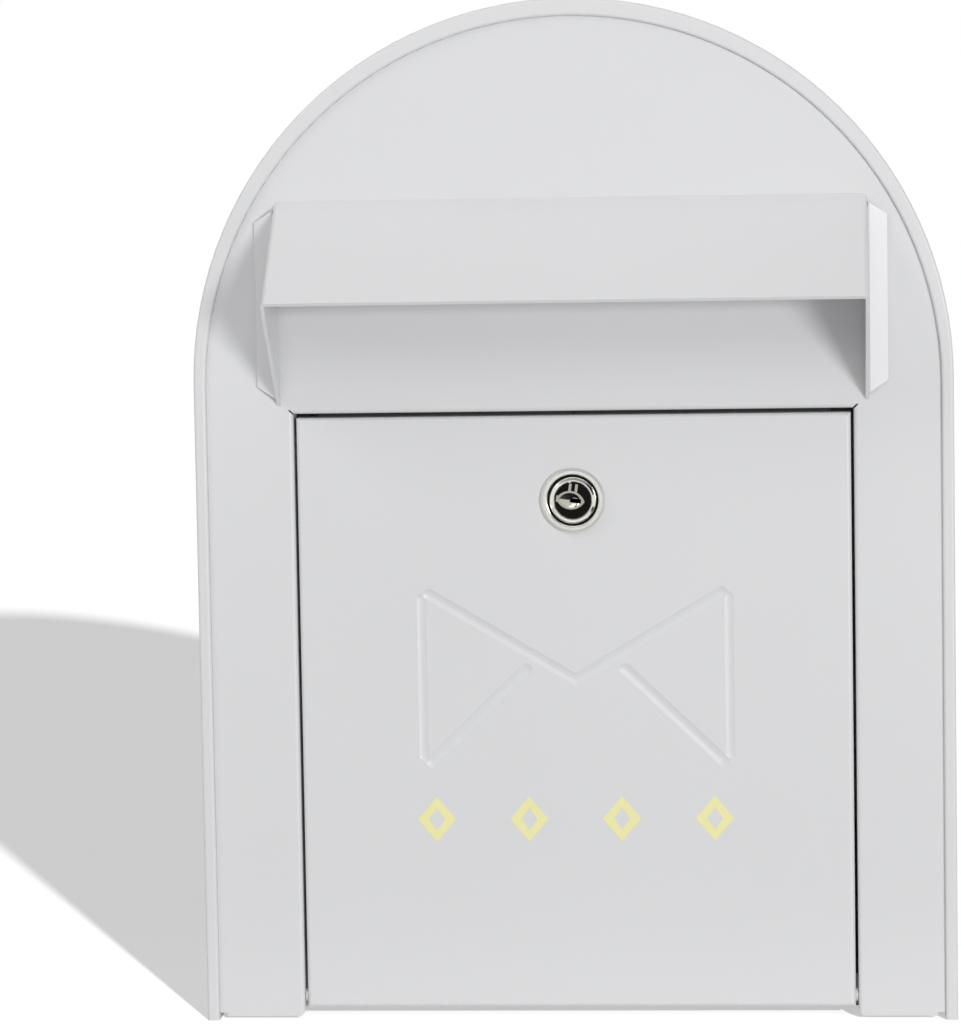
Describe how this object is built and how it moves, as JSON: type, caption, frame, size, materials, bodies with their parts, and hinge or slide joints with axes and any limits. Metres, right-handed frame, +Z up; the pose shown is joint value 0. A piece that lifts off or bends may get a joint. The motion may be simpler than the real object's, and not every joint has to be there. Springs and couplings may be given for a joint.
{
  "type": "wall mounted post box",
  "caption": "Arched sheet steel post box for a wall, with a sloping rain hood over the letter slot and a drop-down locking door.",
  "frame": {"origin": "on the wall plane, in the middle of the four wall screw holes", "axes": "+X right as seen from the front, +Y into the wall, +Z up"},
  "size_m": [0.312, 0.196, 0.422],
  "materials": {
    "powder_coat": "gloss powder coat",
    "lock_chrome": "polished",
    "lock_black": "matt",
    "plug_black": "satin black",
    "zinc_steel": "zinc plated",
    "bush_nylon": "natural nylon",
    "buffer_rubber": "matt"
  },
  "bodies": {
    "casing": {"casing_shell": "powder_coat", "front_panel": "powder_coat", "back_plate": "powder_coat", "floor_tray": "powder_coat", "rain_hood": "powder_coat", "letter_chute": "powder_coat", "keeper": "powder_coat", "door_buffers": "buffer_rubber", "hinge_pin_left": "zinc_steel", "hinge_pin_right": "zinc_steel"},
    "door": {"door_panel": "powder_coat", "hinge_bush_left": "bush_nylon", "hinge_bush_right": "bush_nylon", "lock_housing": "lock_chrome", "lock_ring": "lock_black", "lock_washer": "zinc_steel", "lock_nut": "zinc_steel"},
    "lock_rotor": {"lock_plug": "plug_black", "keyway_shield": "lock_chrome", "lock_cam": "zinc_steel", "cam_washer": "zinc_steel", "cam_screw": "zinc_steel"}
  },
  "joints": [
    {"name": "door_hinge", "type": "hinge", "parent": "casing", "child": "door", "pos_m": [0, -0.1415, -0.1254], "axis": [1, 0, 0], "range_deg": [0, 90]},
    {"name": "lock_turn", "type": "hinge", "parent": "door", "child": "lock_rotor", "pos_m": [0, -0.1318, 0.0819], "axis": [0, 1, 0], "range_deg": [0, 90]}
  ]
}
